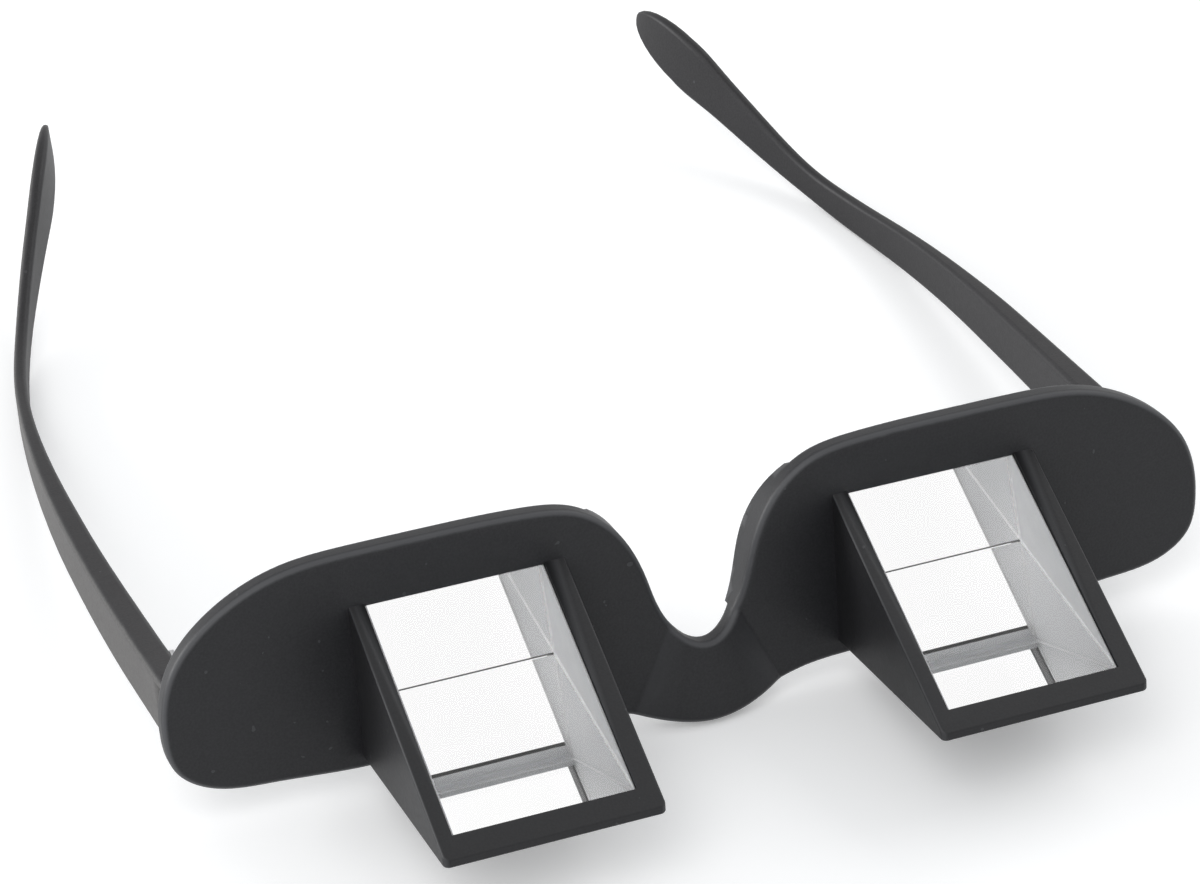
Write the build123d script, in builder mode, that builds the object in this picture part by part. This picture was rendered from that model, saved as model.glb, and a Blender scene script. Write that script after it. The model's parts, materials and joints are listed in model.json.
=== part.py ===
import os
from math import atan2, cos, degrees, radians, sin, tan

from build123d import *

os.makedirs("parts", exist_ok=True)

# The glasses are drawn upright: X across the face, Y from front to ears, Z up.
# The zero point is the middle of the front face, level with the top of both windows.
# At the end everything leans back together until it stands on the bridge and both temples.

# Front plate
plate_thickness = 3.4
plate_edge_round = 1.0
wall_tilt_share = 0.05
half_width = 76.0
lobe_rise = 7.7
lobe_rim = 4.64
overrun = 4.0

# Ends of each outline curve leave at an even pace
even_pace = (1, 1)

# Half outline: across as a share of the half width, up as a share of the lobe's rise
# above the window tops or, where it is negative, of its drop below them
notch_shares = [(0, -0.696), (0.068, -0.526), (0.100, -0.243), (0.145, 0.153), (0.220, 0.773)]
notch_shares += [(0.316, 0.957), (0.475, 1.0)]
end_shares = [(0.475, 1.0), (0.639, 0.997), (0.755, 0.909), (0.895, 0.313), (0.976, -0.174)]
end_shares += [(1, -0.502)]
heel_shares = [(1, -0.502), (0.985, -0.750), (0.926, -0.893), (0.816, -0.948), (0.640, -0.988)]
under_shares = [(0.290, -1.009), (0.191, -1.033), (0.110, -1.102), (0, -1.163)]

# Bridge bowed forward between the lobes, with its creases placed as the outline is
bow_top_share = (0.058, -0.486)
bow_top = 0.9
bow_bottom_share = (0.176, -1.255)
bow_bottom = 3.2
bow_crease_round = 2.0

# Nose wings behind the notch
wing_depth = 1.9
wing_wall = 1.9
wing_top = 4.6
wing_bottom_drop = 14.0

# Windows and prisms
window_inner_share = 0.290
window_width = 25.25
window_slope = 31.7
window_length = 36.0
prism_back = 2.4
nose_lip = 0.15
prism_recess = 0.4
prism_side_gap = 0.06
prism_seat_gap = 0.05
prism_bevel = 0.25
pocket_gap = 0.12
pocket_end_gap = 0.15

# Hoods that carry the prisms
hood_wall = 2.2
hood_heavy_wall = 2.9
hood_nose_wall = 2.59
hood_nose_floor = 1.84
hood_root_floor = 2.64
hood_edge_round = 0.35
hood_nose_round = 0.9

# Mirror plates under the prisms
mirror_thickness = 0.5
mirror_gap = 0.05

# Retaining frames behind the prisms
retainer_margin = 2.6
retainer_lip = 0.5
retainer_gap = 0.05
retainer_thickness = 1.2
retainer_round = 2.0
retainer_edge_round = 0.3

# Temples: how far behind the root, inside the front's end and up the run passes
temple_root_gap = 0.12
temple_run = [
    (0, 3.3, -11.4),
    (26.5, 2.6, -11.15),
    (56.5, 2.3, -9.15),
    (84.5, 4.0, -7.0),
    (100.5, 6.7, -5.35),
    (112.5, 10.35, -1.85),
    (123.5, 15.1, 4.6),
    (134.5, 20.5, 12.2),
    (146.2, 24.8, 18.1),
]

# Height and width of the temple at each of those places, before its end is rounded
temple_sections = [
    (9.0, 4.2),
    (8.6, 4.0),
    (7.9, 3.2),
    (6.6, 2.0),
    (5.5, 1.9),
    (4.9, 1.9),
    (6.8, 2.0),
    (9.2, 2.1),
    (9.6, 2.1),
]
temple_corner_shares = [0.22, 0.22, 0.26, 0.34, 0.40, 0.44, 0.46, 0.46, 0.46]
temple_steps = 18
temple_tip_length = 12.5
tip_rings = 8
tip_last_turn = 84

# Hinges
barrel_radius = 1.5
barrel_height = 6.6
leaf_thickness = 1.0
leaf_recess = 0.5
leaf_pocket_gap = 0.1
hinge_gap = 0.2
knuckle_gap = 0.1
knuckle_room = 0.3
front_leaf_reach = 9.6
temple_leaf_reach = 11.0
leaf_end_round = 1.4
pin_radius = 0.65
pin_gap = 0.05
pin_head_radius = 1.2
pin_head_height = 0.45
pin_slot_width = 0.35
pin_slot_depth = 0.25
leaf_screw_radius = 0.5
leaf_screw_gap = 0.03
leaf_screw_head_radius = 0.95
leaf_screw_head_height = 0.35
leaf_screw_length = 1.9
leaf_screw_slot_width = 0.25
leaf_screw_slot_depth = 0.18
leaf_screw_inset = 2.2
leaf_screw_pitch = 3.6

# Worked out from the sizes above
slope = radians(window_slope)
window_inner = half_width * window_inner_share
window_middle = window_inner + window_width / 2
hood_inner = window_inner - hood_wall
hood_width = hood_wall + window_width + hood_heavy_wall
recess_drop = prism_recess / cos(slope)
prism_floor_drop = (window_length + nose_lip) * sin(slope) + recess_drop
prism_top = prism_back * tan(slope) - recess_drop
prism_toe = (prism_floor_drop - recess_drop) / tan(slope)
prism_width = window_width - 2 * prism_side_gap
mirror_top_drop = prism_floor_drop + prism_seat_gap
mirror_floor_drop = mirror_top_drop + mirror_thickness
pocket_floor_drop = mirror_floor_drop + mirror_gap
pocket_front = prism_toe + pocket_end_gap
hood_depth = pocket_front + hood_nose_wall
hood_nose_drop = pocket_floor_drop + hood_nose_floor
hood_root_drop = pocket_floor_drop + hood_root_floor
lobe_drop = pocket_floor_drop + lobe_rim
temple_root_y = plate_thickness + temple_root_gap
temple_places = [(half_width - inset, temple_root_y + back, up) for back, inset, up in temple_run]
hinge_z = temple_places[0][2]
temple_inner_face = temple_places[0][0] - temple_sections[0][1] / 2
barrel_offset = barrel_radius + hinge_gap
axis_x = temple_inner_face - barrel_offset
axis_y = plate_thickness + barrel_offset
barrel_half = barrel_height / 2
knuckle_edge = (barrel_height / 3 - knuckle_gap) / 2
knuckle_clear = barrel_radius + knuckle_room
front_leaf_back = plate_thickness + leaf_thickness
temple_leaf_outer = temple_inner_face + leaf_recess
temple_leaf_inner = temple_leaf_outer - leaf_thickness
temple_leaf_end = axis_y + temple_leaf_reach
screw_hole_radius = leaf_screw_radius + leaf_screw_gap

window_plane = Plane(origin=(window_middle, 0, 0), x_dir=(1, 0, 0), z_dir=(0, -sin(slope), cos(slope)))
hinge_base = Plane.XY.offset(hinge_z)
front_screw_places = [
    (axis_x - front_leaf_reach + leaf_screw_inset, hinge_z),
    (axis_x - front_leaf_reach + leaf_screw_inset + leaf_screw_pitch, hinge_z),
]
temple_screw_places = [
    (temple_leaf_end - leaf_screw_inset, hinge_z),
    (temple_leaf_end - leaf_screw_inset - leaf_screw_pitch, hinge_z),
]


def shared_height(share):
    """Height of an outline point, from its share of the lobe's rise or drop."""
    return share * (lobe_rise if share > 0 else lobe_drop)


def outline_points(shares, side):
    """Points of the front outline on one side, from their shares."""
    return [(side * half_width * across, shared_height(up)) for across, up in shares]


def half_outline(side):
    """One half of the front outline, from the notch round the lobe to the bridge."""
    notch = outline_points(notch_shares, side)
    end = outline_points(end_shares, side)
    heel = outline_points(heel_shares, side)
    under = outline_points(under_shares, side)
    flat = (under[0][0] - heel[-1][0], under[0][1] - heel[-1][1])
    Spline(*notch, tangents=[(side, 0), (side, 0)], tangent_scalars=even_pace)
    Spline(*end, tangents=[(side, 0), (0, -1)], tangent_scalars=even_pace)
    Spline(*heel, tangents=[(0, -1), flat], tangent_scalars=even_pace)
    Line(heel[-1], under[0])
    Spline(*under, tangents=[flat, (-side, 0)], tangent_scalars=even_pace)


def bow_profile(place_share, bow):
    """Plan of the front at one height: flat lobes and a bridge bowed forward."""
    reach = half_width + overrun
    half_chord = half_width * place_share[0]
    with BuildSketch(Plane.XY.offset(shared_height(place_share[1]))) as profile:
        with BuildLine():
            for y in (0, plate_thickness):
                ThreePointArc((-half_chord, y), (0, y - bow), (half_chord, y))
                Line((half_chord, y), (reach, y))
                Line((-half_chord, y), (-reach, y))
            Line((reach, 0), (reach, plate_thickness))
            Line((-reach, 0), (-reach, plate_thickness))
        make_face()
        creases = [v for v in profile.vertices() if abs(abs(v.X) - half_chord) < bow_crease_round / 4]
        fillet(creases, radius=bow_crease_round)
    return profile.sketch


def pocket_roof(y):
    """Height of the pocket's slanted roof above one depth."""
    return y * tan(slope) - recess_drop + pocket_gap / cos(slope)


def screw_slots(plane, places, width):
    """Screwdriver slots, one across each screw head of a row."""
    with BuildSketch(plane) as slots:
        with Locations(*places):
            Rectangle(width, 3 * leaf_screw_head_radius)
    return slots.sketch


# Space inside each hood and front opening, for a prism and the mirror under it
with BuildPart() as pocket:
    with BuildSketch(Plane.YZ.offset(window_inner)):
        with BuildLine():
            Polyline(
                (-pocket_front, -pocket_floor_drop),
                (plate_thickness + overrun, -pocket_floor_drop),
                (plate_thickness + overrun, pocket_roof(plate_thickness + overrun)),
                (-pocket_front, pocket_roof(-pocket_front)),
                close=True,
            )
        make_face()
    extrude(amount=window_width)

# Nose wings: bands along the notch, bulging back to rest on the nose
with BuildPart() as nose_wings:
    with BuildSketch(Plane.XZ.offset(-plate_thickness / 2)):
        for side in (-1, 1):
            notch = outline_points(notch_shares, side)
            shifted = [(across + side * wing_wall, up - wing_wall / 2) for across, up in notch]
            with BuildLine():
                Spline(*notch, tangents=[(side, 0), (side, 0)], tangent_scalars=even_pace)
                Spline(*shifted, tangents=[(side, 0), (side, 0)], tangent_scalars=even_pace)
                Line(notch[0], shifted[0])
                Line(notch[-1], shifted[-1])
            make_face()
    extrude(amount=-(plate_thickness / 2 + wing_depth))
    with BuildSketch(Plane.YZ.offset(-half_width)):
        with BuildLine():
            Polyline(
                (plate_thickness, wing_top),
                (0, wing_top),
                (0, -wing_bottom_drop),
                (plate_thickness, -wing_bottom_drop),
            )
            ThreePointArc(
                (plate_thickness, -wing_bottom_drop),
                (plate_thickness + wing_depth, (wing_top - wing_bottom_drop) / 2),
                (plate_thickness, wing_top),
            )
        make_face()
    extrude(amount=2 * half_width, mode=Mode.INTERSECT)

# Front: one plate with both lobes, the bowed bridge and the nose notch
with BuildPart() as front_frame:
    bow_profiles = [bow_profile(bow_top_share, bow_top), bow_profile(bow_bottom_share, bow_bottom)]
    loft(sections=bow_profiles, ruled=True)
    with BuildSketch(Plane.XY.offset(shared_height(bow_top_share[1]))):
        with Locations((0, plate_thickness / 2)):
            Rectangle(2 * (half_width + overrun), plate_thickness)
    extrude(amount=lobe_rise + lobe_drop)
    with BuildSketch(Plane.XZ.offset(bow_bottom + overrun)):
        with BuildLine():
            half_outline(1)
            half_outline(-1)
        make_face()
    extrude(amount=-(bow_bottom + 2 * overrun + plate_thickness), mode=Mode.INTERSECT)
    walls = front_frame.faces().filter_by(lambda face: abs(face.normal_at().Y) < wall_tilt_share)
    fillet(walls.edges().filter_by(Axis.Y, reverse=True), radius=plate_edge_round)
    add(nose_wings.part)
    add(pocket.part, mode=Mode.SUBTRACT)
    mirror(pocket.part, about=Plane.YZ, mode=Mode.SUBTRACT)
    with BuildSketch(Plane.XZ.offset(-plate_thickness)):
        for side in (-1, 1):
            with Locations(*[(side * across, up) for across, up in front_screw_places]):
                Circle(screw_hole_radius)
    extrude(amount=leaf_screw_length - leaf_thickness, mode=Mode.SUBTRACT)
front_frame.part.label = "front_frame"

# Hood: a wedge bonded to the front that carries one prism between its cheeks.
# Both sides use the same moulding, so the heavier cheek is on the same side of each.
with BuildPart() as right_prism_hood:
    with BuildSketch(Plane.YZ.offset(hood_inner)):
        with BuildLine():
            Polyline(
                (0, 0),
                (-hood_depth, -hood_depth * tan(slope)),
                (-hood_depth, -hood_nose_drop),
                (0, -hood_root_drop),
                close=True,
            )
        make_face()
    extrude(amount=hood_width)
    nose_ends = right_prism_hood.edges().filter_by(Axis.Z).group_by(Axis.Y)[0]
    fillet(nose_ends, radius=hood_nose_round)
    back_rim = right_prism_hood.faces().sort_by(Axis.Y)[-1].edges()
    front_edges = right_prism_hood.edges() - back_rim
    fillet(front_edges, radius=hood_edge_round)
    with BuildSketch(window_plane):
        with Locations((0, (overrun - window_length) / 2)):
            Rectangle(window_width, window_length + overrun)
    extrude(amount=overrun, mode=Mode.SUBTRACT)
    with BuildSketch(window_plane):
        with Locations((0, (overrun - window_length) / 2)):
            Rectangle(window_width, window_length + overrun)
    extrude(amount=-prism_recess, mode=Mode.SUBTRACT)
    add(pocket.part, mode=Mode.SUBTRACT)
right_prism_hood.part.label = "right_prism_hood"

# Prism: light enters the slanted face, turns at the mirror and leaves at the back
with BuildPart() as right_prism:
    with BuildSketch(Plane.YZ.offset(window_inner + prism_side_gap)):
        with BuildLine():
            Polyline(
                (prism_back, -prism_floor_drop),
                (prism_back, prism_top),
                (-prism_toe, -prism_floor_drop),
                close=True,
            )
        make_face()
    extrude(amount=prism_width)
    chamfer(right_prism.edges(), length=prism_bevel)
right_prism.part.label = "right_prism"

# Mirror plate under the prism, between the prism and the hood's floor
with BuildPart() as right_mirror_plate:
    with BuildSketch(Plane.XY.offset(-mirror_floor_drop)):
        with Locations((window_middle, (prism_back - prism_toe) / 2)):
            Rectangle(prism_width, prism_back + prism_toe)
    extrude(amount=mirror_thickness)
right_mirror_plate.part.label = "right_mirror_plate"

# Retainer: a thin frame behind the opening, with a collar that keeps the prism in
with BuildPart() as right_prism_retainer:
    opening_top = pocket_roof(plate_thickness)
    opening_height = opening_top + pocket_floor_drop
    opening_middle = (opening_top - pocket_floor_drop) / 2
    with BuildSketch(Plane.XZ.offset(-plate_thickness)):
        with Locations((window_middle, opening_middle)):
            RectangleRounded(
                window_width + 2 * retainer_margin,
                opening_height + 2 * retainer_margin,
                retainer_round,
            )
        with Locations((window_middle, opening_top)):
            Rectangle(
                window_width - 2 * retainer_lip,
                opening_height - retainer_lip,
                align=(Align.CENTER, Align.MAX),
                mode=Mode.SUBTRACT,
            )
    extrude(amount=-retainer_thickness)
    fillet(right_prism_retainer.faces().sort_by(Axis.Y)[-1].edges(), radius=retainer_edge_round)
    with BuildSketch(Plane.XZ.offset(-prism_back - retainer_gap)):
        with Locations((window_middle, prism_top)):
            Rectangle(
                prism_width,
                prism_top + mirror_floor_drop,
                align=(Align.CENTER, Align.MAX),
            )
            Rectangle(
                window_width - 2 * retainer_lip,
                prism_top + pocket_floor_drop - retainer_lip,
                align=(Align.CENTER, Align.MAX),
                mode=Mode.SUBTRACT,
            )
    extrude(amount=prism_back + retainer_gap - plate_thickness)
right_prism_retainer.part.label = "right_prism_retainer"

# Front leaf: flat on the back of the front, with the top and bottom knuckles
with BuildPart() as right_front_hinge_leaf:
    with BuildSketch(hinge_base):
        with Locations((axis_x - front_leaf_reach, plate_thickness)):
            Rectangle(
                front_leaf_reach - knuckle_clear, leaf_thickness, align=(Align.MIN, Align.MIN)
            )
    extrude(amount=barrel_half, both=True)
    leaf_end = right_front_hinge_leaf.edges().filter_by(Axis.Y).group_by(Axis.X)[0]
    fillet(leaf_end, radius=leaf_end_round)
    with BuildSketch(hinge_base.offset(-barrel_half)):
        with Locations((axis_x, axis_y)):
            Circle(barrel_radius)
        with Locations((axis_x, plate_thickness)):
            Rectangle(knuckle_clear, leaf_thickness, align=(Align.MAX, Align.MIN))
    extrude(amount=barrel_height)
    with BuildSketch(hinge_base.offset(-knuckle_edge - knuckle_gap)):
        with Locations((axis_x, axis_y)):
            Rectangle(2 * knuckle_clear, 2 * knuckle_clear)
    extrude(amount=2 * (knuckle_edge + knuckle_gap), mode=Mode.SUBTRACT)
    with Locations((axis_x, axis_y, hinge_z)):
        Hole(pin_radius + pin_gap)
    with BuildSketch(Plane.XZ.offset(-plate_thickness)):
        with Locations(*front_screw_places):
            Circle(screw_hole_radius)
    extrude(amount=-leaf_thickness, mode=Mode.SUBTRACT)
right_front_hinge_leaf.part.label = "right_front_hinge_leaf"

# Temple leaf: let into the temple's inner face, with the middle knuckle
with BuildPart() as right_temple_hinge_leaf:
    with BuildSketch(hinge_base):
        with Locations((temple_leaf_inner, axis_y + knuckle_clear)):
            Rectangle(
                leaf_thickness, temple_leaf_reach - knuckle_clear, align=(Align.MIN, Align.MIN)
            )
    extrude(amount=barrel_half, both=True)
    leaf_end = right_temple_hinge_leaf.edges().filter_by(Axis.X).group_by(Axis.Y)[-1]
    fillet(leaf_end, radius=leaf_end_round)
    with BuildSketch(hinge_base):
        with Locations((axis_x, axis_y)):
            Circle(barrel_radius)
        with Locations((temple_leaf_outer, axis_y)):
            Rectangle(leaf_thickness, knuckle_clear, align=(Align.MAX, Align.MIN))
            Rectangle(temple_leaf_outer - axis_x, barrel_radius, align=(Align.MAX, Align.MIN))
    extrude(amount=knuckle_edge, both=True)
    with Locations((axis_x, axis_y, hinge_z)):
        Hole(pin_radius + pin_gap)
    with BuildSketch(Plane.YZ.offset(temple_leaf_inner)):
        with Locations(*temple_screw_places):
            Circle(screw_hole_radius)
    extrude(amount=leaf_thickness, mode=Mode.SUBTRACT)
right_temple_hinge_leaf.part.label = "right_temple_hinge_leaf"

# Hinge screw: a plain pin through all three knuckles, with a slotted head on top
with BuildPart() as right_hinge_screw:
    with BuildSketch(hinge_base.offset(-barrel_half)):
        with Locations((axis_x, axis_y)):
            Circle(pin_radius)
    extrude(amount=barrel_height)
    with BuildSketch(hinge_base.offset(barrel_half)):
        with Locations((axis_x, axis_y)):
            Circle(pin_head_radius)
    extrude(amount=pin_head_height)
    with BuildSketch(hinge_base.offset(barrel_half + pin_head_height)):
        with Locations((axis_x, axis_y)):
            Rectangle(pin_slot_width, 3 * pin_head_radius)
    extrude(amount=-pin_slot_depth, mode=Mode.SUBTRACT)
right_hinge_screw.part.label = "right_hinge_screw"

# Screws through the front leaf into the front
with BuildPart() as right_front_leaf_screws:
    with BuildSketch(Plane.XZ.offset(-front_leaf_back)):
        with Locations(*front_screw_places):
            Circle(leaf_screw_radius)
    extrude(amount=leaf_screw_length)
    with BuildSketch(Plane.XZ.offset(-front_leaf_back)):
        with Locations(*front_screw_places):
            Circle(leaf_screw_head_radius)
    extrude(amount=-leaf_screw_head_height)
    heads = Plane.XZ.offset(-front_leaf_back - leaf_screw_head_height)
    slots = screw_slots(heads, front_screw_places, leaf_screw_slot_width)
    extrude(slots, amount=leaf_screw_slot_depth, mode=Mode.SUBTRACT)
right_front_leaf_screws.part.label = "right_front_leaf_screws"

# Screws through the temple leaf into the temple
with BuildPart() as right_temple_leaf_screws:
    with BuildSketch(Plane.YZ.offset(temple_leaf_inner)):
        with Locations(*temple_screw_places):
            Circle(leaf_screw_radius)
    extrude(amount=leaf_screw_length)
    with BuildSketch(Plane.YZ.offset(temple_leaf_inner)):
        with Locations(*temple_screw_places):
            Circle(leaf_screw_head_radius)
    extrude(amount=-leaf_screw_head_height)
    heads = Plane.YZ.offset(temple_leaf_inner - leaf_screw_head_height)
    slots = screw_slots(heads, temple_screw_places, leaf_screw_slot_width)
    extrude(slots, amount=leaf_screw_slot_depth, mode=Mode.SUBTRACT)
right_temple_leaf_screws.part.label = "right_temple_leaf_screws"


def temple_section(line, share, scale):
    """Section of the temple across its centre line, its size between the two nearest places."""
    place = line @ share
    along = line % share if share > 0 else Vector(0, 1, 0)
    plane = Plane(origin=place, x_dir=along.cross(Vector(0, 0, 1)), z_dir=along)
    sizes = [(*size, corner) for size, corner in zip(temple_sections, temple_corner_shares)]
    size = sizes[-1]
    for before, after, first, second in zip(temple_places, temple_places[1:], sizes, sizes[1:]):
        if before[1] <= place.Y < after[1]:
            part_way = (place.Y - before[1]) / (after[1] - before[1])
            size = [a + (b - a) * part_way for a, b in zip(first, second)]
    height, width, corner_share = size
    with BuildSketch(plane) as section:
        RectangleRounded(scale * width, scale * height, scale * width * corner_share)
    return section.sketch


# Temple: a flat bar that narrows, bends and widens into the ear end
with BuildPart() as right_temple:
    with BuildLine() as temple_line:
        Spline(*temple_places)
    centre_line = temple_line.edge()
    tip_share = temple_tip_length / centre_line.length
    steps = [(1 - tip_share) * step / temple_steps for step in range(temple_steps + 1)]
    loft(sections=[temple_section(centre_line, step, 1) for step in steps])
    turns = [radians(tip_last_turn) * ring / tip_rings for ring in range(tip_rings + 1)]
    rings = [(1 - tip_share * (1 - sin(turn)), cos(turn)) for turn in turns]
    loft(sections=[temple_section(centre_line, share, scale) for share, scale in rings], ruled=True)
    with BuildSketch(hinge_base):
        with Locations((temple_leaf_outer, temple_leaf_end + leaf_pocket_gap)):
            Rectangle(overrun, temple_leaf_end + overrun, align=(Align.MAX, Align.MAX))
    extrude(amount=barrel_half + leaf_pocket_gap, both=True, mode=Mode.SUBTRACT)
    with BuildSketch(Plane.YZ.offset(temple_leaf_outer)):
        with Locations(*temple_screw_places):
            Circle(screw_hole_radius)
    extrude(amount=leaf_screw_length - leaf_thickness, mode=Mode.SUBTRACT)
right_temple.part.label = "right_temple"

right_pieces = [
    right_prism_hood,
    right_prism,
    right_mirror_plate,
    right_prism_retainer,
    right_front_hinge_leaf,
    right_hinge_screw,
    right_front_leaf_screws,
    right_temple,
    right_temple_hinge_leaf,
    right_temple_leaf_screws,
]
pieces = [front_frame.part]
for right in right_pieces:
    with BuildPart() as left:
        if right is right_prism_hood:
            with Locations((-2 * window_middle, 0)):
                add(right.part)
        else:
            mirror(right.part, about=Plane.YZ)
    left.part.label = right.part.label.replace("right_", "left_")
    pieces += [right.part, left.part]

# Lean back until the bridge and the undersides of both temples touch the same level
bridge_drop = -shared_height(under_shares[-1][1])
lean = min(
    degrees(atan2(bridge_drop + z - height / 2, y))
    for (x, y, z), (height, width) in zip(temple_places[1:], temple_sections[1:])
)
leaned = [Rot(X=-lean) * piece for piece in pieces]
box = Compound(children=leaned).bounding_box()
stand = Pos(-box.center().X, -box.center().Y, -box.min.Z) * Rot(X=-lean)
print("lean", lean, "shift", -box.center().X, -box.center().Y, -box.min.Z)
for piece in pieces:
    standing = stand * piece
    standing.label = piece.label
    export_step(standing, f"parts/{piece.label}.step")
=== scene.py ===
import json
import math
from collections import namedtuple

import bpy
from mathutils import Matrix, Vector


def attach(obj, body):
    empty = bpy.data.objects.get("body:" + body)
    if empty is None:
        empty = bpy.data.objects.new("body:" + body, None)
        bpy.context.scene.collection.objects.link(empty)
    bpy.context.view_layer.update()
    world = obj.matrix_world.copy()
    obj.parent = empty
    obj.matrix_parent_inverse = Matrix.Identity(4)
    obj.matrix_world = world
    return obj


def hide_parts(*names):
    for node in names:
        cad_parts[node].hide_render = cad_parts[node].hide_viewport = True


bl_info = {
    "name": "Prism bed glasses",
    "version": (1, 0, 0),
    "blender": (4, 5, 0),
    "location": "View3D > Sidebar > Glasses",
    "description": "Dresses a pair of prism bed glasses and sets up its studio",
    "category": "Add Mesh",
}

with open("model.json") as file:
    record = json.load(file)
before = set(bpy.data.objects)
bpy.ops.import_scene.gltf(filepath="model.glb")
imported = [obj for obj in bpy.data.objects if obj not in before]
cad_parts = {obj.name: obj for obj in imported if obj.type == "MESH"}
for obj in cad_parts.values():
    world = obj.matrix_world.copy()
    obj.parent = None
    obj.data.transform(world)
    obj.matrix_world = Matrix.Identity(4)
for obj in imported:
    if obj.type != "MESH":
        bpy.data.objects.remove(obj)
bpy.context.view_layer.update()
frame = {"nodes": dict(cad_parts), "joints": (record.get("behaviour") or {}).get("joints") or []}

SIDES = ("left", "right")
MM = 0.001
WHITE = (1.0, 1.0, 1.0, 1.0)

# Where the glasses stand: the front leans back by the tilt of its hinge axes
HINGE = {joint["name"]: joint for joint in frame["joints"]}["right_temple_hinge"]
LEAN = math.atan2(HINGE["axis"][1], HINGE["axis"][2])
HINGE_ON_FRONT = Vector((68.9, 5.1, -11.4)) * MM
FRONT = (
    Matrix.Translation(HINGE["pos_m"])
    @ Matrix.Rotation(-LEAN, 4, "X")
    @ Matrix.Translation(-HINGE_ON_FRONT)
)

# Camera, measured from the front: it looks from the left and from above
CAMERA_TURN = math.radians(-19.13)
CAMERA_RISE = math.radians(25.06)
CAMERA_ROLL = math.radians(-4.29)
CAMERA_DISTANCE = 523.5 * MM
CAMERA_TARGET = Vector((-12.96, 0, 15.55)) * MM
CAMERA_LENS = 118.93
CAMERA_SENSOR = 36.0
CAMERA_NEAR = 0.01

# Lamps, all turned towards the middle of the floor
Lamp = namedtuple("Lamp", "name place width depth watts")
LAMPS = (
    Lamp("key_light", (-0.5, -0.5, 0.9), 0.7, 0.7, 3.5),
    Lamp("side_light", (-1.0, 0.5, 0.25), 0.5, 0.5, 9.0),
    Lamp("fill_light", (0.7, 0.2, 0.7), 0.8, 0.5, 2.0),
)
SKY_COLOUR = (0.96, 0.98, 1.0, 1.0)
SKY_STRENGTH = 0.62

# Floor: it lies just under the glasses, and the lift keeps it pale where it is seen
FLOOR_SIZE = 6.0
FLOOR_DROP = 0.2 * MM
FLOOR_LIFT = 0.22

# Noise patterns: repeats in a metre, and how broken up each is
Pattern = namedtuple("Pattern", "per_metre detail roughness")
PATCHES = Pattern(70.0, 3.0, 0.55)
MOTTLE = Pattern(3200.0, 2.0, 0.6)
SPECKS = Pattern(2600.0, 2.0, 0.7)
SCUFFS = Pattern(900.0, 5.0, 0.65)
DUST = Pattern(900.0, 0.0, 0.5)
FROST_CLOUDS = Pattern(260.0, 5.0, 0.6)
FROST_GRAIN = Pattern(2500.0, 2.0, 0.55)
STEEL_STAINS = Pattern(300.0, 4.0, 0.55)
LEAF_BRUSHING = Pattern(2400.0, 3.0, 0.6)
SCREW_TURNING = Pattern(1500.0, 3.0, 0.6)
COAT_SPECKS = Pattern(1200.0, 4.0, 0.7)

# How patterns are drawn out along an axis of the glasses
SCUFF_STRETCH = (0.25, 1.0, 1.0)
BRUSHING_STRETCH = (1.0, 1.0, 0.06)

# Slopes: each runs from one point to the other as (reading, level), and is level outside
MOTTLE_SLOPE = ((0.36, 0.0), (0.64, 1.0))
# RIM_RISE and RIM_FALL pick out the rounded edges that get a painted highlight
RIM_RISE = ((0.15, 0.0), (0.5, 1.0))
RIM_FALL = ((0.8, 1.0), (0.97, 0.0))
LIT_SIDE_SLOPE = ((0.45, 0.0), (0.8, 1.0))

# Moulded plastic
DUST_AND_RIM_HIGHLIGHT = (0.055, 0.056, 0.06)  # colour of dust on it, and of the painted highlight along the rims
DUST_LEVEL = 0.855  # the dust pattern above this is a speck
DUST_SHARE = 0.5
# Share of the painted highlight on the temples' outer sides, all over and with the mottle
LIT_SIDE_ALL_OVER = 0.55
LIT_SIDE_IN_MOTTLE = 0.45
SPECK_DEPTH = 0.03 * MM
PATCH_DEPTH = 0.12 * MM
PATCH_STRENGTH = 0.25
SCUFF_DULLING = 0.10
PATCH_DULLING = 0.06
PLASTIC_SPECULAR = 0.34

# Prisms: faces turned sideways by more than these are ground sides and their bevels
SIDE_TURN = 0.5
BEVEL_TURN = 0.9
GROUND_DROP = 0.1 * MM  # the ground strip along the top edge reaches this far down
FROST_DARK = (0.80, 0.81, 0.83, 1.0)
FROST_PALE = (0.97, 0.975, 0.98, 1.0)
FROST_CLOUD_SHARE = 0.7
FROST_GRAIN_SHARE = 0.3

# Steel and the mirrors' coat
SCREW_SHADE = 0.8
STAIN_SHADE = 0.8
BRUSHING_DEPTH = 0.01 * MM
BRUSHING_STRENGTH = 0.4
BRUSHING_DULLING = 0.15
COAT_COLOUR = (0.93, 0.94, 0.95, 1.0)
COAT_ROUGHNESS = 0.015
COAT_DULLING = 0.02


class Value:
    """A shader socket in an expression: each operator adds its Math node."""

    def __init__(self, finish, socket):
        self.finish = finish
        self.socket = socket

    def maths(self, operation, first, second=0.0):
        return self.finish.node("ShaderNodeMath", {"operation": operation}, {0: first, 1: second})

    def __add__(self, other):
        return self.maths("ADD", self, other)

    __radd__ = __add__

    def __mul__(self, other):
        return self.maths("MULTIPLY", self, other)

    __rmul__ = __mul__

    def __sub__(self, other):
        return self.maths("SUBTRACT", self, other)

    def __rsub__(self, other):
        return self.maths("SUBTRACT", other, self)

    def __gt__(self, other):
        return self.maths("GREATER_THAN", self, other)

    def __lt__(self, other):
        return self.maths("LESS_THAN", self, other)

    def __abs__(self):
        return self.maths("ABSOLUTE", self)

    def either(self, other):
        """The larger of the two, so that one of two masks is enough."""
        return self.maths("MAXIMUM", self, other)


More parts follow.
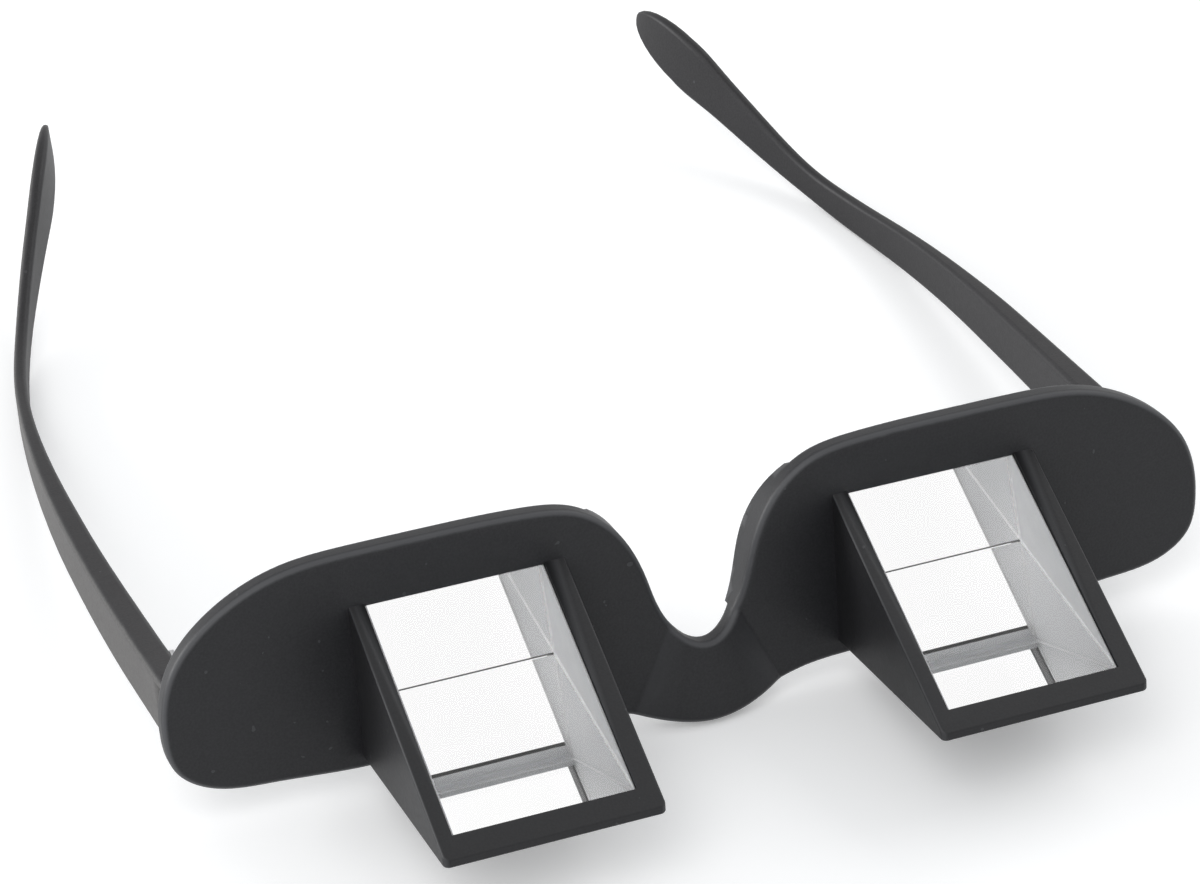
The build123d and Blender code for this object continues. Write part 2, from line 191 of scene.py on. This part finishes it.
class Finish:
    """A material or world whose nodes are written as expressions."""

    def __init__(self, owner):
        owner.use_nodes = True
        self.owner = owner
        self.tree = owner.node_tree
        self.tree.nodes.clear()

    def node(self, kind, settings=None, sockets=None, out=0):
        """Any node: its settings are set first, then the values or links of its sockets."""
        made = self.tree.nodes.new(kind)
        for key, value in (settings or {}).items():
            setattr(made, key, value)
        for key, value in (sockets or {}).items():
            if isinstance(value, Value):
                self.tree.links.new(value.socket, made.inputs[key])
            else:
                made.inputs[key].default_value = value
        return Value(self, made.outputs[out])

    def place(self):
        return self.node("ShaderNodeTexCoord", out="Object")

    def facing(self):
        return self.node("ShaderNodeTexCoord", out="Normal")

    def sideways(self, vector):
        """How far a place or a normal reaches across the glasses, from left to right."""
        return self.node("ShaderNodeSeparateXYZ", None, {0: vector}, out="X")

    def stretched(self, scale):
        return self.node("ShaderNodeMapping", None, {"Vector": self.place(), "Scale": scale})

    def noise(self, pattern, at=None):
        sockets = {
            "Vector": at or self.place(),
            "Scale": pattern.per_metre,
            "Detail": pattern.detail,
            "Roughness": pattern.roughness,
        }
        return self.node("ShaderNodeTexNoise", None, sockets)

    def bump(self, height, depth, strength, normal=None):
        sockets = {"Height": height, "Distance": depth, "Strength": strength}
        if normal:
            sockets["Normal"] = normal
        return self.node("ShaderNodeBump", None, sockets)

    def slope(self, value, ends):
        """Straight slope between two points, level outside them."""
        (start, first), (end, last) = ends
        sockets = {
            "Value": value,
            "From Min": start,
            "From Max": end,
            "To Min": first,
            "To Max": last,
        }
        return self.node("ShaderNodeMapRange", {"clamp": True}, sockets)

    def dot(self, first, second):
        operation = {"operation": "DOT_PRODUCT"}
        return self.node("ShaderNodeVectorMath", operation, {0: first, 1: second}, out="Value")

    def blend(self, share, first, second):
        sockets = {"Factor": share, 6: first, 7: second}
        return self.node("ShaderNodeMix", {"data_type": "RGBA"}, sockets, out=2)

    def mix_shaders(self, share, first, second):
        return self.node("ShaderNodeMixShader", None, {0: share, 1: first, 2: second})

    def surface(self, **sockets):
        named = {key.replace("_", " "): value for key, value in sockets.items()}
        return self.node("ShaderNodeBsdfPrincipled", None, named)

    def light(self, kind, colour, strength):
        """An Emission or a Background."""
        return self.node(kind, None, {"Color": colour, "Strength": strength})

    def finish(self, shader, kind="ShaderNodeOutputMaterial"):
        output = self.tree.nodes.new(kind)
        self.tree.links.new(shader.socket, output.inputs["Surface"])
        return self.owner


def new_material(name):
    return Finish(bpy.data.materials.new(name))


def rgba(colour):
    return (*colour, 1.0)


def shaded(colour, share):
    return [share * channel for channel in colour]


def black_plastic(name, dark, worn, edge_axis, rim_highlight_share, shine, lit_side=None):
    """Moulded black plastic: satin grain, faint scuffs, dust specks and painted edge highlights.

    The rims that turn between the faces along the edge axis and those square to it get a
    painted highlight. With a lit-side colour, the sides that face away from the middle get it as
    a painted highlight.
    """
    look = new_material(name)
    patches = look.noise(PATCHES)
    mottle = look.slope(look.noise(MOTTLE), MOTTLE_SLOPE)
    specks = look.noise(SPECKS)
    scuffs = look.noise(SCUFFS, at=look.stretched(SCUFF_STRETCH))
    dust = look.noise(DUST) > DUST_LEVEL
    outward = abs(look.dot(look.facing(), FRONT.to_3x3() @ Vector(edge_axis)))
    # Rounded edges between the faces, where a highlight is painted
    rim_highlight = look.slope(outward, RIM_RISE) * look.slope(outward, RIM_FALL)
    shade = look.blend(0.5 * patches + 0.5 * mottle, rgba(dark), rgba(worn))
    # The sides that face away from the middle get a painted highlight, where light falls on them
    if lit_side:
        side = (look.sideways(look.place()) > 0.0) * 2.0 - 1.0
        away = look.slope(side * look.sideways(look.facing()), LIT_SIDE_SLOPE)
        lit_side_share = (LIT_SIDE_ALL_OVER + LIT_SIDE_IN_MOTTLE * mottle) * away
        shade = look.blend(lit_side_share, shade, rgba(lit_side))
    # Painted highlight on the rounded edges, then real dust specks, both in one pale colour
    shade = look.blend(rim_highlight_share * rim_highlight, shade, rgba(DUST_AND_RIM_HIGHLIGHT))
    shade = look.blend(DUST_SHARE * dust, shade, rgba(DUST_AND_RIM_HIGHLIGHT))
    fine = look.bump(specks, SPECK_DEPTH, sizes().grain)
    relief = look.bump(patches, PATCH_DEPTH, PATCH_STRENGTH, normal=fine)
    return look.finish(
        look.surface(
            Base_Color=shade,
            Roughness=shine + SCUFF_DULLING * scuffs + PATCH_DULLING * patches,
            Specular_IOR_Level=PLASTIC_SPECULAR,
            Normal=relief,
        )
    )


def prism_glass(name, index):
    """Clear block: polished working faces, and ground sides, side bevels and top edge."""
    look = new_material(name)
    sideways = abs(look.sideways(look.facing()))
    straight_up = FRONT.to_3x3() @ Vector((0, 0, 1))
    height = look.dot(look.place(), straight_up)
    top_height = straight_up.dot(FRONT.translation)
    ground = (sideways > SIDE_TURN).either(height > top_height - GROUND_DROP)
    bevel = (sideways > SIDE_TURN) * (BEVEL_TURN > sideways)
    polished = look.surface(
        Base_Color=WHITE,
        Roughness=0.0,
        IOR=index,
        Transmission_Weight=1.0,
    )
    clouds = look.noise(FROST_CLOUDS)
    grain = look.noise(FROST_GRAIN)
    paleness = FROST_CLOUD_SHARE * clouds + FROST_GRAIN_SHARE * grain
    frosted = look.surface(
        Base_Color=look.blend(bevel, look.blend(paleness, FROST_DARK, FROST_PALE), WHITE),
        Roughness=0.5,
        Specular_IOR_Level=0.1,
    )
    return look.finish(look.mix_shaders(ground, polished, frosted))


def metal(name, colour, brushing, roughness):
    """Steel with fine brushing along one direction."""
    look = new_material(name)
    lines = look.noise(brushing, at=look.stretched(BRUSHING_STRETCH))
    stains = look.noise(STEEL_STAINS)
    return look.finish(
        look.surface(
            Base_Color=look.blend(stains, rgba(colour), rgba(shaded(colour, STAIN_SHADE))),
            Metallic=1.0,
            Roughness=roughness + BRUSHING_DULLING * lines,
            Normal=look.bump(lines, BRUSHING_DEPTH, BRUSHING_STRENGTH),
        )
    )


def mirror_coat(name):
    """Silvered plate with a few faint specks in the coat."""
    look = new_material(name)
    specks = look.noise(COAT_SPECKS)
    return look.finish(
        look.surface(
            Base_Color=COAT_COLOUR,
            Metallic=1.0,
            Roughness=COAT_ROUGHNESS + COAT_DULLING * specks,
        )
    )


class GlassesSizes(bpy.types.PropertyGroup):
    """Sizes of the finish that a user may change."""

    smooth_angle: bpy.props.FloatProperty(
        name="Smooth angle",
        description="Faces that meet at less than this angle are shaded as one surface",
        default=math.radians(50),
        subtype="ANGLE",
        unit="ROTATION",
    )
    weld: bpy.props.FloatProperty(
        name="Weld distance",
        description="Points of a copied part that are nearer than this are joined",
        default=0.002 * MM,
        precision=6,
        subtype="DISTANCE",
        unit="LENGTH",
    )
    glass_index: bpy.props.FloatProperty(
        name="Glass index",
        description="How strongly the prisms bend light",
        default=1.586,
        min=1.0,
        max=2.0,
    )
    grain: bpy.props.FloatProperty(
        name="Grain",
        description="Strength of the fine grain on the moulded plastic",
        default=0.6,
        subtype="FACTOR",
    )


class GlassesColours(bpy.types.PropertyGroup):
    """Colours of the glasses and of the studio."""

    plastic: bpy.props.FloatVectorProperty(
        name="Plastic",
        description="Black of the frame",
        default=(0.007, 0.0072, 0.0088),
        subtype="COLOR",
    )
    plastic_worn: bpy.props.FloatVectorProperty(
        name="Worn plastic",
        description="Paler patches of the frame",
        default=(0.0165, 0.0168, 0.019),
        subtype="COLOR",
    )
    # Black of the hoods: a darker copy of the frame's black, as painted shade on the hoods
    hood: bpy.props.FloatVectorProperty(
        name="Hoods",
        description="Black of the prism hoods",
        default=(0.006, 0.0062, 0.0075),
        subtype="COLOR",
    )
    hood_worn: bpy.props.FloatVectorProperty(
        name="Worn hoods",
        description="Paler patches of the hoods",
        default=(0.012, 0.012, 0.0135),
        subtype="COLOR",
    )
    # Black of the temples, kept darker than the frame's as painted shade on their tops
    temple: bpy.props.FloatVectorProperty(
        name="Temples",
        description="Black of the temples",
        default=(0.004, 0.0038, 0.0048),
        subtype="COLOR",
    )
    temple_worn: bpy.props.FloatVectorProperty(
        name="Worn temples",
        description="Paler patches of the temples",
        default=(0.018, 0.0168, 0.0185),
        subtype="COLOR",
    )
    # Painted highlight on the temples' outer sides
    temple_lit_side: bpy.props.FloatVectorProperty(
        name="Lit temple sides",
        description="Outer sides of the temples",
        default=(0.062, 0.059, 0.057),
        subtype="COLOR",
    )
    steel: bpy.props.FloatVectorProperty(
        name="Steel",
        description="Hinges and screws",
        default=(0.56, 0.56, 0.57),
        subtype="COLOR",
    )
    floor: bpy.props.FloatVectorProperty(
        name="Floor",
        description="Pale floor and backdrop",
        default=(0.9, 0.9, 0.9),
        subtype="COLOR",
    )


def sizes():
    return bpy.context.scene.glasses_sizes


def colours():
    return bpy.context.scene.glasses_colours


def choose_only(piece):
    """Makes one object the only selected and the active one."""
    bpy.ops.object.select_all(action="DESELECT")
    piece.select_set(True)
    bpy.context.view_layer.objects.active = piece


def dress(piece, material):
    piece.data.materials.clear()
    piece.data.materials.append(material)


def dress_node(node, material):
    """Puts a finish on a part that stays as it is."""
    for entry in frame["nodes"][node].material_slots:
        entry.material = material


def smooth_copy(node, body, material):
    """A welded, smoothly shaded copy of one part, which stands for it."""
    piece = frame["nodes"][node].copy()
    piece.data = piece.data.copy()
    piece.name = node + "_finish"
    piece.data.name = piece.name
    piece.parent = None
    for key in list(piece.keys()):
        del piece[key]
    bpy.context.scene.collection.objects.link(piece)
    choose_only(piece)
    bpy.ops.object.mode_set(mode="EDIT")
    bpy.ops.mesh.select_all(action="SELECT")
    bpy.ops.mesh.remove_doubles(threshold=sizes().weld)
    bpy.ops.object.mode_set(mode="OBJECT")
    bpy.ops.object.shade_smooth_by_angle(angle=sizes().smooth_angle)
    bpy.ops.object.modifier_add(type="WEIGHTED_NORMAL")
    piece.modifiers[-1].keep_sharp = True
    bpy.ops.object.modifier_apply(modifier=piece.modifiers[-1].name)
    dress(piece, material)
    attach(piece, body)
    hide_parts(node)


class GLASSES_OT_front(bpy.types.Operator):
    """Finish the front plate with its bridge and nose wings"""

    bl_idname = "glasses.front"
    bl_label = "Front"

    def execute(self, context):
        material = black_plastic(
            "front_black_satin",
            colours().plastic,
            colours().plastic_worn,
            edge_axis=(0, 1, 0),
            rim_highlight_share=1.0,
            shine=0.40,
        )
        smooth_copy("front_frame", "frame", material)
        return {"FINISHED"}


class GLASSES_OT_hoods(bpy.types.Operator):
    """Finish the two prism hoods and the retainers behind them"""

    bl_idname = "glasses.hoods"
    bl_label = "Prism hoods"

    def execute(self, context):
        material = black_plastic(
            "hood_black_satin",
            colours().hood,
            colours().hood_worn,
            edge_axis=(1, 0, 0),
            rim_highlight_share=0.4,
            shine=0.44,
        )
        for side in SIDES:
            smooth_copy(side + "_prism_hood", "frame", material)
            smooth_copy(side + "_prism_retainer", "frame", material)
        return {"FINISHED"}


class GLASSES_OT_temples(bpy.types.Operator):
    """Finish the two temples"""

    bl_idname = "glasses.temples"
    bl_label = "Temples"

    def execute(self, context):
        material = black_plastic(
            "temple_black_satin",
            colours().temple,
            colours().temple_worn,
            edge_axis=(1, 0, 0),
            rim_highlight_share=0.15,
            shine=0.42,
            lit_side=colours().temple_lit_side,
        )
        for side in SIDES:
            smooth_copy(side + "_temple", side + "_temple", material)
        return {"FINISHED"}


class GLASSES_OT_prisms(bpy.types.Operator):
    """Finish the two prisms and the mirrors under them"""

    bl_idname = "glasses.prisms"
    bl_label = "Prisms and mirrors"

    def execute(self, context):
        glass = prism_glass("prism_clear_block", sizes().glass_index)
        coat = mirror_coat("mirror_silver_coat")
        for side in SIDES:
            dress_node(side + "_prism", glass)
            dress_node(side + "_mirror_plate", coat)
        return {"FINISHED"}


class GLASSES_OT_hinges(bpy.types.Operator):
    """Finish the hinges and their screws"""

    bl_idname = "glasses.hinges"
    bl_label = "Hinges"

    def execute(self, context):
        steel = colours().steel
        leaf = metal("hinge_brushed_steel", steel, LEAF_BRUSHING, roughness=0.30)
        screw = metal(
            "screw_turned_steel", shaded(steel, SCREW_SHADE), SCREW_TURNING, roughness=0.24
        )
        for side in SIDES:
            smooth_copy(side + "_front_hinge_leaf", "frame", leaf)
            smooth_copy(side + "_temple_hinge_leaf", side + "_temple", leaf)
            smooth_copy(side + "_hinge_screw", "frame", screw)
            smooth_copy(side + "_front_leaf_screws", "frame", screw)
            smooth_copy(side + "_temple_leaf_screws", side + "_temple", screw)
        return {"FINISHED"}


def seen_directly(look):
    """One where the camera sees a surface directly, mirrored or through glass."""
    kinds = ("Is Camera Ray", "Is Glossy Ray", "Is Transmission Ray")
    camera, mirrored, through = [look.node("ShaderNodeLightPath", out=kind) for kind in kinds]
    return camera.either(mirrored).either(through)


def pale_floor_material():
    """Matt floor that is lifted to white where it is seen, and keeps the shadow."""
    look = new_material("studio_pale_floor")
    bright = look.surface(
        Base_Color=rgba(colours().floor), Roughness=0.9, Specular_IOR_Level=0.0
    )
    lift = look.light("ShaderNodeEmission", WHITE, FLOOR_LIFT)
    lifted = look.node("ShaderNodeAddShader", None, {0: bright, 1: lift})
    return look.finish(look.mix_shaders(seen_directly(look), bright, lifted))


def add_sky():
    """Soft light from all round, which is plain white where it is seen."""
    world = bpy.data.worlds.new("studio_light")
    bpy.context.scene.world = world
    sky = Finish(world)
    soft = sky.light("ShaderNodeBackground", SKY_COLOUR, SKY_STRENGTH)
    white = sky.light("ShaderNodeBackground", WHITE, 1.0)
    sky.finish(sky.mix_shaders(seen_directly(sky), soft, white), "ShaderNodeOutputWorld")


def add_lamp(lamp):
    """Soft rectangular lamp turned towards the middle of the floor."""
    data = bpy.data.lights.new(lamp.name, "AREA")
    data.shape = "RECTANGLE"
    data.size = lamp.width
    data.size_y = lamp.depth
    data.energy = lamp.watts
    holder = bpy.data.objects.new(lamp.name, data)
    bpy.context.scene.collection.objects.link(holder)
    holder.location = lamp.place
    holder.rotation_euler = (-Vector(lamp.place)).to_track_quat("-Z", "Y").to_euler()


def camera_place():
    """Where the camera stands: turned, raised and rolled about a point of the front."""
    back = Vector((
        math.sin(CAMERA_TURN) * math.cos(CAMERA_RISE),
        -math.cos(CAMERA_TURN) * math.cos(CAMERA_RISE),
        math.sin(CAMERA_RISE),
    ))
    level = (-back).cross(Vector((0, 0, 1))).normalized()
    upright = level.cross(-back)
    across = math.cos(CAMERA_ROLL) * level + math.sin(CAMERA_ROLL) * upright
    up = -math.sin(CAMERA_ROLL) * level + math.cos(CAMERA_ROLL) * upright
    turned = Matrix((across, up, back)).transposed().to_4x4()
    return FRONT @ Matrix.Translation(CAMERA_TARGET + back * CAMERA_DISTANCE) @ turned


def add_camera():
    camera = bpy.data.cameras.new("studio_camera")
    camera.sensor_fit = "HORIZONTAL"
    camera.sensor_width = CAMERA_SENSOR
    camera.lens = CAMERA_LENS
    camera.clip_start = CAMERA_NEAR
    holder = bpy.data.objects.new("studio_camera", camera)
    bpy.context.scene.collection.objects.link(holder)
    holder.matrix_world = camera_place()
    bpy.context.scene.camera = holder


class GLASSES_OT_stage(bpy.types.Operator):
    """Add the pale floor, the soft lamps and the camera"""

    bl_idname = "glasses.stage"
    bl_label = "Studio"

    def execute(self, context):
        bpy.ops.mesh.primitive_plane_add(size=FLOOR_SIZE, location=(0, 0, -FLOOR_DROP))
        floor = context.active_object
        floor.name = "studio_floor"
        dress(floor, pale_floor_material())
        add_sky()
        for lamp in LAMPS:
            add_lamp(lamp)
        add_camera()
        context.scene.view_settings.view_transform = "Standard"
        return {"FINISHED"}


OPERATORS = (
    GLASSES_OT_front,
    GLASSES_OT_hoods,
    GLASSES_OT_temples,
    GLASSES_OT_prisms,
    GLASSES_OT_hinges,
    GLASSES_OT_stage,
)


class GLASSES_PT_panel(bpy.types.Panel):
    """The glasses' operators, in the order that they are used"""

    bl_label = "Glasses"
    bl_idname = "GLASSES_PT_panel"
    bl_space_type = "VIEW_3D"
    bl_region_type = "UI"
    bl_category = "Glasses"

    def draw(self, context):
        for operator in OPERATORS:
            self.layout.operator(operator.bl_idname)


CLASSES = (GlassesSizes, GlassesColours, *OPERATORS, GLASSES_PT_panel)


def register():
    for each in CLASSES:
        bpy.utils.register_class(each)
    bpy.types.Scene.glasses_sizes = bpy.props.PointerProperty(type=GlassesSizes)
    bpy.types.Scene.glasses_colours = bpy.props.PointerProperty(type=GlassesColours)


def unregister():
    del bpy.types.Scene.glasses_sizes
    del bpy.types.Scene.glasses_colours
    for each in reversed(CLASSES):
        bpy.utils.unregister_class(each)


def main():
    register()
    bpy.ops.glasses.front()
    bpy.ops.glasses.hoods()
    bpy.ops.glasses.temples()
    bpy.ops.glasses.prisms()
    bpy.ops.glasses.hinges()
    bpy.ops.glasses.stage()


if __name__ == "__main__":
    main()
